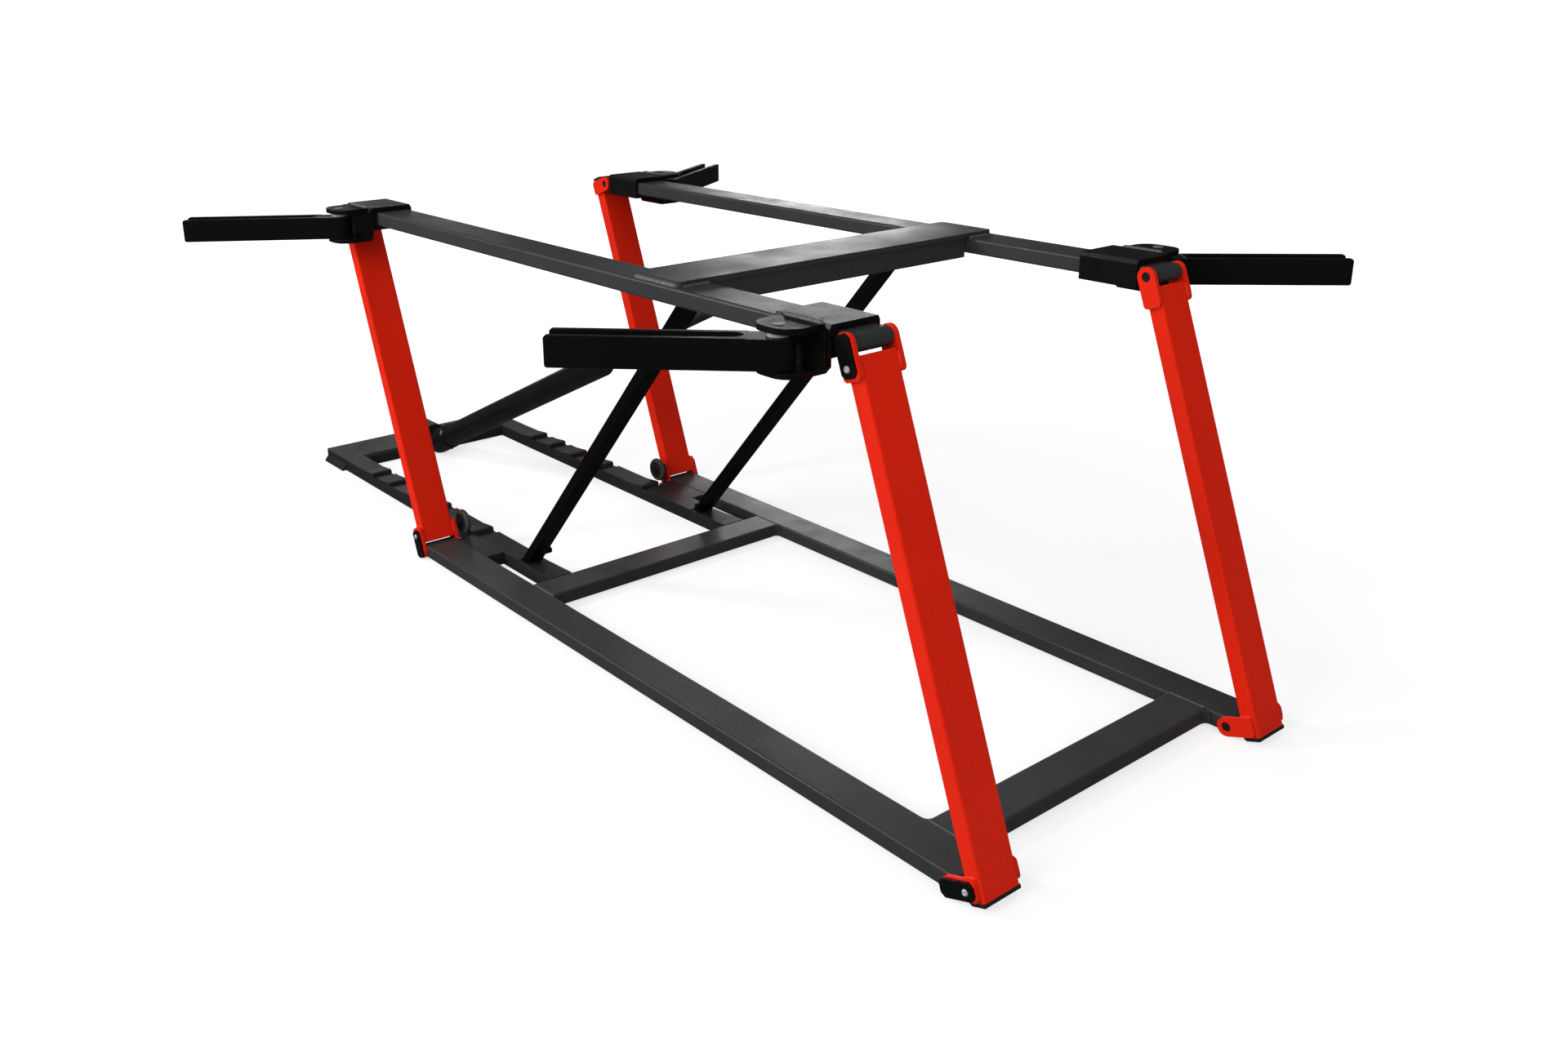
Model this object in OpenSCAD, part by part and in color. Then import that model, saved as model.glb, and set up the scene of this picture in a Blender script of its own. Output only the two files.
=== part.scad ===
// Mobile low-rise vehicle lift: four legs fold as a parallelogram between a base and a top frame.
// Sizes in millimetres. X points to the front, Y to the left and Z up.
// The floor is z = 0 and the origin lies below the middle of the middle crossbeam.
// It is drawn raised, with both safety struts in the front pockets of their racks.

/* [Flat tube] */
// Width of the flat tube that the legs are made of
tube_w = 100; // [80:1:120]
// Height of the flat tube
tube_h = 38; // [34:1:44]
// Wall of the flat tube
tube_wall = 4; // [2.5:0.5:6]
// Rounding of the flat tube's long edges
tube_r = 6; // [4.5:0.5:8]

/* [Base frame] */
// Distance from the rear to the front lower hinges
wheelbase = 2088; // [1900:1:2300]
// Distance from the middle plane to the centre of a rail
rail_y = 455; // [435:1:520]
// Distance from the rear lower hinges to the middle crossbeam's centre
mid_beam_at = 508; // [460:1:600]
// Distance from the front crossbeam's centre to the front lower hinges
front_beam_back = 107; // [80:1:180]
// Height of the rubber feet
foot_h = 4; // [3:0.5:6]
// Length of a rubber foot
foot_len = 90; // [60:1:140]
// Radius of the welded inner corners of the frame
corner_fillet = 15; // [8:1:25]

/* [Safety racks] */
// Distance from the middle plane to the centre of a rack
rack_y = 315; // [290:1:330]
// Width of a rack
rack_w = 70; // [62:1:84]
// Plan radius of the base's rear corners
tail_r = 24; // [12:1:30]
// Height of a rack's flat top
rack_top = 41; // [40:0.5:42]
// Sheet thickness of the racks and the rear crossbeam
rack_sheet = 4; // [3:0.5:5]
// Clearance below the racks
rack_lift = 1; // [0.5:0.5:2]
// Distance from the rear lower hinges forward to the front pocket's stop face
pocket_at = 284; // [270:1:290]
// Depth of the front pocket that holds the strut
pocket_depth = 3.3; // [2.5:0.1:4]
// Length of the front pocket
pocket_len = 56; // [50:1:80]
// Height of a tooth above the rack's flat top
tooth_rise = 6; // [3:0.5:8]
// Length of the ramp that climbs to a tooth
tooth_ramp = 64; // [40:1:90]
// Depth of the notch in front of a tooth
notch_depth = 7; // [4:0.5:10]
// Length of the notch in front of a tooth
notch_len = 26; // [16:1:40]
// Step from the front pocket back to the first tooth
step_1 = 262; // [200:1:300]
// Step from the first to the second tooth
step_2 = 265; // [200:1:300]
// Step from the second to the third tooth
step_3 = 164; // [120:1:200]
// Step from the third to the fourth tooth
step_4 = 141; // [110:1:180]
// Step from the fourth to the fifth tooth
step_5 = 124; // [100:1:150]
// Distance from the rear lower hinges back to the base's rear edge
base_tail = 1064; // [1040:1:1120]
// Length of the rear crossbeam along X
rear_beam_len = 178; // [170:1:186]
// Start of the bridge plate ahead of the rear lower hinges
bridge_at = 25; // [25:1:90]
// Length of the bridge plate between a rack and its rail
bridge_len = 179; // [100:1:220]

/* [Legs] */
// Distance between a leg's two hinges
leg_len = 1020; // [980:1:1060]
// Lean of the hinge line of a raised leg, in degrees from upright
leg_lean = 17.5; // [14:0.1:22]
// Offset of a leg's tube from its cranked hinge
leg_offset = 51.5; // [50:0.5:56]
// Overhang of the tube past its cranked hinge
leg_over = 26; // [25:1:34]
// Distance from the in-line hinge to the tube's end
leg_gap = 25.5; // [24:0.5:34]
// The same distance on the rear legs
rear_leg_gap = 22; // [21:0.5:34]
// Thickness of a hinge ear
ear_t = 10; // [8:0.5:14]
// Radius of a hinge ear's round end
ear_r = 22; // [20.5:0.5:22.5]
// Length of the in-line ears along the tube
ear_len = 70; // [60:1:110]
// Corner radius where an ear ends on the tube's side
ear_end_r = 10; // [4:0.5:18]
// Diameter of the hinge pins
pin_d = 22; // [16:0.5:26]
// Depth by which a hinge pin sits below its ear's inner face
pin_recess = 3; // [1:0.5:5]
// Thickness of the lock plates over the outer ears
lock_t = 6; // [4:0.5:8]
// Width of a lock plate
lock_w = 37; // [30:1:37]
// Length of a lock plate past the hinge
lock_len = 63; // [56:1:64]
// Distance from the hinge to the lock plate's bolt
lock_bolt_at = 45; // [38:1:48]
// Shank diameter of the lock bolts
lock_bolt_d = 8; // [6:0.5:10]
// Thickness of the end pads
pad_t = 8; // [5:0.5:8]

/* [Transport wheels] */
// Diameter of a transport wheel
wheel_d = 75; // [70:1:78]
// Width of a transport wheel
wheel_w = 18; // [15:1:20]
// Distance from the rear lower hinge up the leg to the wheel's axle
wheel_up = 54; // [50:1:58]
// Shank diameter of the wheel's axle
axle_d = 12; // [8:0.5:14]

/* [Top frame] */
// Thickness of the corner block's top cap
cap_t = 14; // [10:0.5:16]
// Depth of the corner blocks and the crossbar below the top bars
sleeve_drop = 11; // [9:0.5:11]
// Distance from the hinge to the start of a corner block
block_at = 26; // [26:0.5:30]
// Length of a corner block along X
block_len = 152; // [140:1:180]
// Thickness of a corner block's outer wall
block_wall = 29; // [22:1:34]
// Distance from the rear upper hinges to the crossbar's centre
crossbar_at = 1508; // [1400:1:1550]
// Length of the crossbar's box along X
crossbar_len = 106; // [96:1:120]
// Length of the crossbar's top plate along X
top_plate_len = 164; // [150:1:190]
// Thickness of the crossbar's top plate
top_plate_t = 12; // [8:0.5:14]
// Edge of the top bar that the top plate leaves free
top_plate_edge = 14; // [8:1:30]

/* [Swing arms] */
// Distance from the upper hinge to the swing pin along X
swing_in = 100; // [95:1:105]
// Distance from the top bar's centre out to the swing pin
swing_out = 128; // [124:1:140]
// Diameter of the swing pins
swing_pin_d = 24; // [18:0.5:28]
// Width of a swing arm
arm_w = 65; // [56:1:66]
// Height of a swing arm
arm_h = 60; // [50:1:60]
// Length of a swing arm from its pin to its tip
arm_len = 430; // [380:1:480]
// Thickness of a swing arm's two bars
arm_bar = 13; // [10:0.5:16]
// Solid length of a swing arm's hub
hub_len = 64; // [62:1:90]
// Height of an arm's bars above its hub
arm_step = 1; // [0.5:0.5:2]
// Corner radius at a swing arm's free end
arm_end_r = 6; // [3:0.5:10]
// Corner radius of a clevis's plates
fork_r = 42; // [25:1:50]
// Thickness of the clevis plate above the swing arm
fork_top_t = 12; // [10:0.5:14]
// Thickness of the clevis plate below the swing arm
fork_low_t = 10; // [8:0.5:14]
// Thickness of the washer above the swing arm
washer_t = 9; // [4:0.5:11]
// Outer diameter of the washer above the swing arm
washer_d = 44; // [36:1:56]
// Running gap above and below the swing arm's stack
stack_play = 0.6; // [0.3:0.1:1]
// Turn of the right front swing arm, in degrees from +X
turn_rf = 225; // [180:1:270]
// Turn of the right rear swing arm, in degrees from +X
turn_rr = 235; // [180:1:270]
// Turn of the left front swing arm, in degrees from +X
turn_lf = 47; // [0:1:90]
// Turn of the left rear swing arm, in degrees from +X
turn_lr = 122; // [90:1:180]

/* [Safety struts] */
// Width of a safety strut
strut_w = 50; // [40:1:54]
// Depth of a safety strut
strut_t = 25; // [20:0.5:25]
// Width of the groove along a strut's underside
groove_w = 8; // [5:0.5:14]
// Depth of the groove along a strut's underside
groove_t = 9; // [4:0.5:12]
// Diameter of the strut's hinge pin
strut_pin_d = 12; // [8:0.5:14]
// Distance from the crossbar's rear face back to the strut hinge
strut_back = 28; // [24:1:32]
// Thickness of a strut's lug
lug_t = 8; // [6:0.5:10]
// Diameter of the lifting peg near a strut's foot
peg_d = 18; // [12:1:20]
// Length of the lifting peg
peg_len = 22; // [12:1:26]
// Distance of the lifting peg below the strut's middle line
peg_off = 3; // [0:0.5:3]
// Distance from the foot's tip up the strut to the lifting peg
peg_up = 42; // [40:1:70]
// Gap between the pocket's stop face and the raised strut's level sole
foot_back = 22; // [21:0.5:26]
// Gap between the pocket's stop face and the strut's tip
tip_gap = 3; // [2:0.5:5]
// Height of the strut's tip above its sole
tip_lift = 3; // [2.8:0.1:3.6]

/* [Spindle] */
// Diameter of the spindle's outer tube
spindle_d = 78; // [70:1:80]
// Wall of the spindle's outer tube
spindle_wall = 5; // [4:0.5:8]
// Diameter of the collar at the tube's lower end
collar_d = 88; // [84:1:92]
// Length of the collar ahead of the spindle's hinge
collar_len = 105; // [80:1:140]
// Distance from the base's rear edge forward to the spindle's hinge
spindle_set = 216; // [208:1:220]
// Length of the outer tube ahead of its hinge
spindle_len = 1198; // [1170:1:1202]
// Diameter of the spindle's rod
rod_d = 29; // [24:0.5:30]
// Length of the spindle's rod
rod_len = 1198; // [1170:1:1200]
// Length of the nut at the rod's inner end
nut_len = 24; // [16:1:40]
// Length of the gland in the tube's mouth
gland_len = 26; // [16:1:40]
// Diameter of the spindle's hinge pin
spindle_pin_d = 16; // [12:0.5:20]
// Distance from the crossbar's rear face back to the rod's eye
eye_back = 53; // [48:1:56]
// Diameter of the rod's eye
eye_d = 32; // [30:0.5:34]
// Width of the rod's eye
eye_w = 32; // [28:0.5:34]
// Thickness of the bracket and fork cheeks
cheek_t = 8; // [6:0.5:10]
// Thickness of the cheeks at the spindle's foot
foot_cheek_t = 5; // [4:0.5:10]

/* [Fits] */
// Radial clearance of a pin that turns in its bore
run_fit = 0.06; // [0.02:0.01:0.1]
// Radial clearance of a pin that is held in its hole
hold_fit = 0.02; // [0.01:0.01:0.05]
// Side clearance of a hinge between its ears
hinge_play = 0.5; // [0.3:0.1:1]
// Gap between a strut's foot and its pocket
seat_gap = 0.3; // [0.2:0.1:0.5]

/* [Hidden] */

// Smoothness of round parts
FN = 48;
// Far enough to cut through anything
FAR = 4000;
// Overlap of a cut past the face it opens
CUT = 1;

// Hinge lines of the base and of the raised top frame
rear_x = -mid_beam_at;
front_x = rear_x + wheelbase;
low_z = foot_h + tube_h / 2;
rise = round(10 * leg_len * cos(leg_lean)) / 10;
run = round(10 * leg_len * sin(leg_lean)) / 10;
up_dx = -run;
up_z = low_z + rise;
rear_up_x = rear_x + up_dx;
front_up_x = front_x + up_dx;

// A leg's tube leans by the hinge line's lean and the crank's share
leg_span = sqrt(rise * rise + run * run);
leg_run = sqrt(leg_span * leg_span - leg_offset * leg_offset);
tube_lean = atan2(run, rise) + asin(leg_offset / leg_span);

// The frames are as wide as the legs, less the side clearance
bar_w = tube_w - 2 * hinge_play;
bar_in = rail_y - bar_w / 2;
rail_low = low_z - tube_h / 2;
rail_top = low_z + tube_h / 2;
bar_low = up_z - tube_h / 2;
bar_top = up_z + tube_h / 2;
ear_out = tube_w / 2 + ear_t;
ear_over = leg_offset + tube_h / 2 - 4.5;
lock_back = 19.5;
lock_cut = 9;

// Rack stations, as world X
pocket_x = rear_x + pocket_at;
tooth_x = [
  pocket_x - step_1,
  pocket_x - step_1 - step_2,
  pocket_x - step_1 - step_2 - step_3,
  pocket_x - step_1 - step_2 - step_3 - step_4,
  pocket_x - step_1 - step_2 - step_3 - step_4 - step_5
];
tail_x = rear_x - base_tail;
mid_beam_rear = -tube_w / 2;
rear_beam_front = tail_x + rear_beam_len;
pocket_z = rack_top - pocket_depth;
rack_in = rack_y - rack_w / 2;
rack_out = rack_y + rack_w / 2;
crest_r = 8;

// Top crossbar
crossbar_x = rear_up_x + crossbar_at;
crossbar_rear = crossbar_x - crossbar_len / 2;
crossbar_low = bar_low - sleeve_drop;
crossbar_h = tube_h + sleeve_drop;
// The top plate reaches 10 further forward than the box and the rest backward
plate_front = crossbar_x + crossbar_len / 2 + 10;
plate_half_y = rail_y + bar_w / 2 - top_plate_edge;

// Spindle: its hinge on the base and its eye under the crossbar
spindle_x = tail_x + spindle_set;
spindle_z = collar_d / 2 + 3;
eye_x = crossbar_rear - eye_back;
eye_z = crossbar_low;
spindle_rise = atan2(eye_z - spindle_z, eye_x - spindle_x);
spindle_reach = norm([eye_x - spindle_x, eye_z - spindle_z]);
bracket_gap = collar_d / 2 + 1.5;
bracket_out = bracket_gap + foot_cheek_t;
hump_r = bracket_out + 2;
hump_fillet = 22;
// A corner weld keeps this far below the tube's top
weld_low = 3;
eye_gap = eye_w / 2 + 1;
plug_len = 26;

// Safety strut: its hinge behind the crossbar and its foot in the front pocket
strut_x = crossbar_rear - strut_back;
strut_z = crossbar_low + strut_t / 2 + 1.3;
foot_x = pocket_x + foot_back;
foot_z = pocket_z + seat_gap;
// The strut's upper face runs down to its tip
tip_x = pocket_x + tip_gap;
tip_z = foot_z + tip_lift;
tip_span = norm([strut_x - tip_x, strut_z - tip_z]);
strut_rise = atan2(strut_z - tip_z, strut_x - tip_x) + asin(strut_t / 2 / tip_span);
aim_x = strut_x - (strut_z - foot_z) / tan(strut_rise);
strut_reach = norm([strut_x - aim_x, strut_z - foot_z]);
strut_side = strut_w / 2 + hinge_play;

// Swing arm stack, from the clevis's lower plate up
arm_top = bar_top - stack_play / 2 - washer_t - stack_play;
arm_low = arm_top - arm_h;
fork_low_top = arm_low - stack_play - 1.4;
fork_low_z = fork_low_top - fork_low_t;

// Transport wheel: it just clears the floor when the lift is down
wheel_side = wheel_d / 2 + 0.3 - low_z;
wheel_in = ear_out + 19;

// Centred rectangle with round corners
module round_rect(w, h, r) {
  square([w - 2 * r, h], center = true);
  square([w, h - 2 * r], center = true);
  for (sx = [-1, 1])
    for (sy = [-1, 1])
      translate([sx * (w / 2 - r), sy * (h / 2 - r)])
        circle(r = r, $fn = 32);
}

// Profile of the flat tube: width along x, height along y
module tube_profile(w) {
  difference() {
    round_rect(w, tube_h, tube_r);
    round_rect(w - 2 * tube_wall, tube_h - 2 * tube_wall, tube_r - tube_wall + 0.5);
  }
}

// Drawn in the XZ plane, spread along Y about y = 0
module across(w) {
  rotate([90, 0, 0])
    translate([0, 0, -w / 2])
      linear_extrude(height = w)
        children();
}

// Cylinder along Y, centred at y = 0
module y_rod(d, w) {
  rotate([90, 0, 0])
    cylinder(d = d, h = w, center = true, $fn = FN);
}

// Copy of the left side's piece on the right side
module on_right() {
  mirror([0, 1, 0])
    children();
}

// ---------------------------------------------------------------- base frame

// A long bar with a hinge barrel at each end, from x = 0 to x = length
module hinged_bar(length) {
  difference() {
    union() {
      rotate([90, 0, 90])
        linear_extrude(height = length)
          round_rect(bar_w, tube_h, tube_r);
      for (x = [0, length])
        translate([x, 0, 0])
          y_rod(tube_h, bar_w);
    }
    translate([tube_h / 2 + tube_wall, 0, 0])
      rotate([90, 0, 90])
        linear_extrude(height = length - tube_h - 2 * tube_wall)
          round_rect(bar_w - 2 * tube_wall, tube_h - 2 * tube_wall, tube_r - tube_wall + 0.5);
    for (x = [0, length])
      translate([x, 0, 0])
        y_rod(pin_d + 2 * run_fit, bar_w + 2 * CUT);
  }
}

module base_rail() {
  translate([rear_x, rail_y, low_z])
    hinged_bar(wheelbase);
}

// Concave weld corner in the XY plane, in the quadrant +X +Y, with a root at -X
module weld_corner(h) {
  root = 3;
  linear_extrude(height = h) {
    difference() {
      square(corner_fillet);
      translate([corner_fillet, corner_fillet])
        circle(r = corner_fillet, $fn = FN);
    }
    translate([-root, 0])
      square([root + 0.5, corner_fillet - 1]);
  }
}

// Crossbeam between the rails, centred at x = 0
module crossbeam(low, front_corners, rear_corners) {
  difference() {
    translate([0, bar_in, low + tube_h / 2])
      rotate([90, 0, 0])
        linear_extrude(height = 2 * bar_in)
          round_rect(tube_w, tube_h, tube_r);
    translate([0, bar_in - tube_wall, low + tube_h / 2])
      rotate([90, 0, 0])
        linear_extrude(height = 2 * (bar_in - tube_wall))
          round_rect(tube_w - 2 * tube_wall, tube_h - 2 * tube_wall, tube_r - tube_wall + 0.5);
  }
  for (side = [0, 1])
    mirror([0, side, 0])
      translate([0, bar_in, low + weld_low]) {
        if (front_corners)
          translate([tube_w / 2, 0, 0])
            mirror([0, 1, 0])
              weld_corner(tube_h - 2 * weld_low);
        if (rear_corners)
          translate([-tube_w / 2, 0, 0])
            rotate([0, 0, 180])
              weld_corner(tube_h - 2 * weld_low);
      }
}

module front_crossbeam_body() {
  translate([front_x - front_beam_back, 0, 0])
    crossbeam(rail_low, true, true);
}

module mid_crossbeam_body() {
  crossbeam(rail_low, true, false);
}

// Crest of a tooth whose stop face stands at x, as points of an arc
function crest(x) = [
  for (a = [90:-15:0])
    [x - crest_r + crest_r * cos(a), rack_top + tooth_rise - crest_r * 0.75 * (1 - sin(a))]
];

// A tooth from the front end of its notch back to the foot of its ramp
function tooth(x) = concat(
  [[x - tooth_ramp, rack_top]],
  crest(x),
  [[x, rack_top - notch_depth], [x + notch_len, rack_top - notch_depth]],
  [[x + notch_len + notch_depth, rack_top]]
);

// Outline of a rack in the XZ plane
module rack_outline(lower) {
  polygon(concat(
    [[tail_x, lower], [tail_x, rack_top - 8], [tail_x + 10, rack_top]],
    [for (i = [len(tooth_x) - 1:-1:0]) for (p = tooth(tooth_x[i])) p],
    [[pocket_x, rack_top], [pocket_x, pocket_z], [pocket_x + pocket_len, pocket_z]],
    [[mid_beam_rear - 10, rail_top], [mid_beam_rear, rail_top], [mid_beam_rear, lower]]
  ));
}

// Rounds the rear outer corner of a rack, seen from above, drawn in by t
module tail_rounded(t) {
  r = tail_r - t;
  difference() {
    children();
    translate([tail_x + t, rack_w / 2 - t, -FAR / 2])
      linear_extrude(height = FAR)
        difference() {
          translate([-CUT, -r])
            square([r + CUT, r + CUT]);
          translate([r, -r])
            circle(r = r, $fn = FN);
        }
  }
}

// Pressed-steel rack: a notched channel that is open below
module rack_body() {
  translate([0, rack_y, 0])
    difference() {
      tail_rounded(0)
        across(rack_w)
          rack_outline(rack_lift);
      tail_rounded(rack_sheet)
        across(rack_w - 2 * rack_sheet)
          intersection() {
            translate([0, -rack_sheet])
              rack_outline(rack_lift - 2 * rack_sheet);
            translate([-rack_sheet, -rack_sheet])
              rack_outline(rack_lift - 2 * rack_sheet);
            translate([tail_x + rack_sheet, -FAR / 2])
              square([FAR, FAR]);
          }
    }
  // Flared foot at the rear outer corner
  translate([tail_x + tail_r, rack_out, rack_lift])
    rotate([90, 0, 90])
      linear_extrude(height = rear_beam_len - tail_r - 7)
        polygon([[0, 0], [14, 0], [14, rack_sheet], [0, rack_sheet + 18]]);
}

// Outline of the rear crossbeam in the XZ plane, drawn in by t all round
module rear_beam_outline(t) {
  polygon([
    [tail_x + t, rack_lift - 2 * t], [tail_x + t, rack_top - 8 - t / 2],
    [tail_x + 10 + t / 2, rack_top - t], [rear_beam_front - 10 - t / 2, rack_top - t],
    [rear_beam_front - t, rack_top - 8 - t / 2], [rear_beam_front - t, rack_lift - 2 * t]
  ]);
}

// Arched hump over the spindle's foot, seen along X, with hollow-curved flanks
module hump_outline() {
  base_z = rack_top - 3;
  w = hump_r + hump_fillet;
  intersection() {
    union() {
      translate([0, spindle_z])
        circle(r = hump_r, $fn = FN);
      difference() {
        translate([-w, base_z])
          square([2 * w, 3 + hump_fillet]);
        for (side = [-1, 1])
          translate([side * w, base_z + 3 + hump_fillet])
            circle(r = hump_fillet, $fn = FN);
      }
    }
    translate([-FAR / 2, base_z])
      square([FAR, FAR]);
  }
}

// Pressed rear crossbeam with an arched saddle for the spindle's foot
module rear_crossbeam_body() {
  saddle_x = spindle_x - collar_d / 2 - 4;
  hump_x = tail_x + 22;
  difference() {
    union() {
      across(2 * rack_in)
        rear_beam_outline(0);
      translate([hump_x, 0, 0])
        rotate([90, 0, 90])
          linear_extrude(height = rear_beam_front - 4 - hump_x)
            hump_outline();
    }
    difference() {
      across(2 * (rack_in - rack_sheet))
        rear_beam_outline(rack_sheet);
      translate([saddle_x - rack_sheet, -bracket_out - rack_sheet, -FAR / 2])
        cube([FAR, 2 * (bracket_out + rack_sheet), FAR]);
    }
    translate([saddle_x, -bracket_out, -FAR + spindle_z])
      cube([FAR, 2 * bracket_out, FAR]);
    translate([saddle_x, 0, spindle_z])
      rotate([0, 90, 0])
        cylinder(r = bracket_out, h = FAR, $fn = FN);
  }
}

// Plate that ties a rack to its rail, with a turned-down edge at each end
module rack_bridge_body() {
  x0 = rear_x + bridge_at;
  w = bar_in - rack_out;
  translate([x0, rack_out, rack_top - 5])
    cube([bridge_len, w, 5]);
  for (x = [x0, x0 + bridge_len - 5])
    translate([x, rack_out, rail_low])
      cube([5, w, rack_top - rail_low]);
}

// Rubber feet below the rails, the middle crossbeam and the rear corners
module base_feet_body() {
  w = tube_w * 0.6;
  for (side = [-1, 1])
    for (x = [rear_x + 90, front_x - 90])
      translate([x - foot_len / 2, side * rail_y - w / 2, 0])
        cube([foot_len, w, foot_h]);
  translate([-w / 2, -foot_len / 2, 0])
    cube([w, foot_len, foot_h]);
  for (side = [0, 1])
    mirror([0, side, 0])
      translate([tail_x + 30, rack_in, 0])
        cube([foot_len, rack_w, rack_lift]);
}

// Two cheeks in the saddle that carry the spindle's lower hinge
module spindle_bracket_body() {
  back = spindle_x - collar_d / 2 - 4;
  for (side = [-1, 1])
    translate([0, side * (bracket_gap + foot_cheek_t / 2), 0])
      across(foot_cheek_t)
        difference() {
          union() {
            translate([spindle_x, spindle_z])
              circle(d = spindle_pin_d + 14, $fn = FN);
            translate([back, rack_lift + 4])
              square([spindle_x - back, spindle_z - rack_lift - 4]);
          }
          translate([spindle_x, spindle_z])
            circle(d = spindle_pin_d + 2 * hold_fit, $fn = FN);
        }
}

module spindle_hinge_pin_body() {
  translate([spindle_x, 0, spindle_z]) {
    y_rod(spindle_pin_d, 2 * bracket_out + 6);
    for (side = [-1, 1])
      translate([0, side * (bracket_out + 5), 0])
        y_rod(spindle_pin_d + 10, 4);
  }
}

// ---------------------------------------------------------------------- legs
// A leg's own frame: its cranked hinge at the origin, its tube along +Z,
// offset towards +X, and its outer side at +Y

module at_leg(front) {
  if (front)
    translate([front_x, rail_y, low_z])
      rotate([0, -tube_lean, 0])
        children();
  else
    translate([rear_up_x, rail_y, up_z])
      rotate([0, 180 - tube_lean, 0])
        children();
}

module crank_ear() {
  circle(r = ear_r, $fn = FN);
  translate([0, -ear_r])
    square([ear_over - ear_end_r, 2 * ear_r]);
  translate([0, -ear_r + ear_end_r])
    square([ear_over, 2 * (ear_r - ear_end_r)]);
  for (sy = [-1, 1])
    translate([ear_over - ear_end_r, sy * (ear_r - ear_end_r)])
      circle(r = ear_end_r, $fn = 48);
}

module inline_ear() {
  translate([leg_offset, leg_run]) {
    circle(r = ear_r, $fn = FN);
    translate([-ear_r, -ear_len + ear_end_r])
      square([2 * ear_r, ear_len - ear_end_r]);
    translate([-ear_r + ear_end_r, -ear_len])
      square([2 * (ear_r - ear_end_r), ear_len]);
    for (sx = [-1, 1])
      translate([sx * (ear_r - ear_end_r), -ear_len + ear_end_r])
        circle(r = ear_end_r, $fn = 48);
  }
}

module leg_hinge_holes(d) {
  y_rod(d, FAR);
  translate([leg_offset, 0, leg_run])
    y_rod(d, FAR);
}

module lock_bolt_holes(d) {
  translate([lock_bolt_at, tube_w / 2, 0])
    y_rod(d, 4 * (ear_t + lock_t));
  translate([leg_offset, tube_w / 2, leg_run - lock_bolt_at])
    y_rod(d, 4 * (ear_t + lock_t));
}

module leg_body(gap) {
  difference() {
    union() {
      translate([leg_offset, 0, -leg_over])
        rotate([0, 0, 90])
          linear_extrude(height = leg_run - gap + leg_over)
            tube_profile(tube_w);
      for (side = [-1, 1])
        translate([0, side * (tube_w + ear_t) / 2, 0])
          across(ear_t) {
            crank_ear();
            inline_ear();
          }
    }
    leg_hinge_holes(pin_d + 2 * hold_fit);
    intersection() {
      lock_bolt_holes(lock_bolt_d + 2 * hold_fit);
      translate([-FAR / 2, ear_out - ear_t, -FAR / 2])
        cube([FAR, FAR, FAR]);
    }
  }
}

// Both hinge pins of a leg, sunk below the inner ears
module leg_pins_body() {
  w = 2 * ear_out - pin_recess;
  translate([0, ear_out - w / 2, 0]) {
    y_rod(pin_d, w);
    translate([leg_offset, 0, leg_run])
      y_rod(pin_d, w);
  }
}

// Lock plate with cut corners, from behind the hinge at the origin along +X
module lock_outline() {
  h = lock_w / 2;
  polygon([
    [-lock_back, -h + lock_cut], [-lock_back + lock_cut, -h], [lock_len - lock_cut, -h],
    [lock_len, -h + lock_cut], [lock_len, h - lock_cut], [lock_len - lock_cut, h],
    [-lock_back + lock_cut, h], [-lock_back, h - lock_cut]
  ]);
}

module lock_plates_body() {
  difference() {
    translate([0, ear_out + lock_t / 2, 0])
      across(lock_t) {
        lock_outline();
        translate([leg_offset, leg_run])
          rotate(-90)
            lock_outline();
      }
    lock_bolt_holes(lock_bolt_d + 2 * hold_fit);
  }
}

// Button-head bolts that hold the lock plates
module lock_bolts_body() {
  for (p = [[lock_bolt_at, 0], [leg_offset, leg_run - lock_bolt_at]])
    translate([p[0], 0, p[1]]) {
      translate([0, ear_out + lock_t / 2 - ear_t / 2 + 1, 0])
        y_rod(lock_bolt_d, lock_t + ear_t - 2);
      translate([0, ear_out + lock_t, 0])
        rotate([-90, 0, 0])
          cylinder(d1 = lock_bolt_d + 6, d2 = lock_bolt_d + 2, h = 4, $fn = 32);
    }
}

// Pad that closes the tube at the cranked end, with one edge cut away
module end_pad_body() {
  h = tube_h / 2;
  across(tube_w)
    polygon([
      [leg_offset - h, -leg_over], [leg_offset + h, -leg_over],
      [leg_offset + h, -leg_over - pad_t], [leg_offset - h + 6, -leg_over - pad_t],
      [leg_offset - h, -leg_over - pad_t + 5]
    ]);
}

// --------------------------------------------------------- transport wheels

module at_wheel() {
  at_leg(false)
    translate([leg_offset - wheel_side, 0, leg_run - wheel_up])
      children();
}

// Rim and hub of a wheel, turned about Y
module wheel_body() {
  h = wheel_w / 2;
  at_wheel()
    translate([0, -wheel_in - h, 0])
      rotate([90, 0, 0])
        rotate_extrude($fn = FN)
          polygon([
            [axle_d / 2 + run_fit, -h], [axle_d / 2 + 7, -h], [axle_d / 2 + 9, -h + 3],
            [wheel_d / 2 - 10, -h + 3], [wheel_d / 2 - 8, -h], [wheel_d / 2 - 6, -h],
            [wheel_d / 2 - 2, -h + 2], [wheel_d / 2, -h + 5], [wheel_d / 2, h - 5],
            [wheel_d / 2 - 2, h - 2], [wheel_d / 2 - 6, h], [wheel_d / 2 - 8, h],
            [wheel_d / 2 - 10, h - 3], [axle_d / 2 + 9, h - 3], [axle_d / 2 + 7, h],
            [axle_d / 2 + run_fit, h]
          ]);
}

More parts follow.
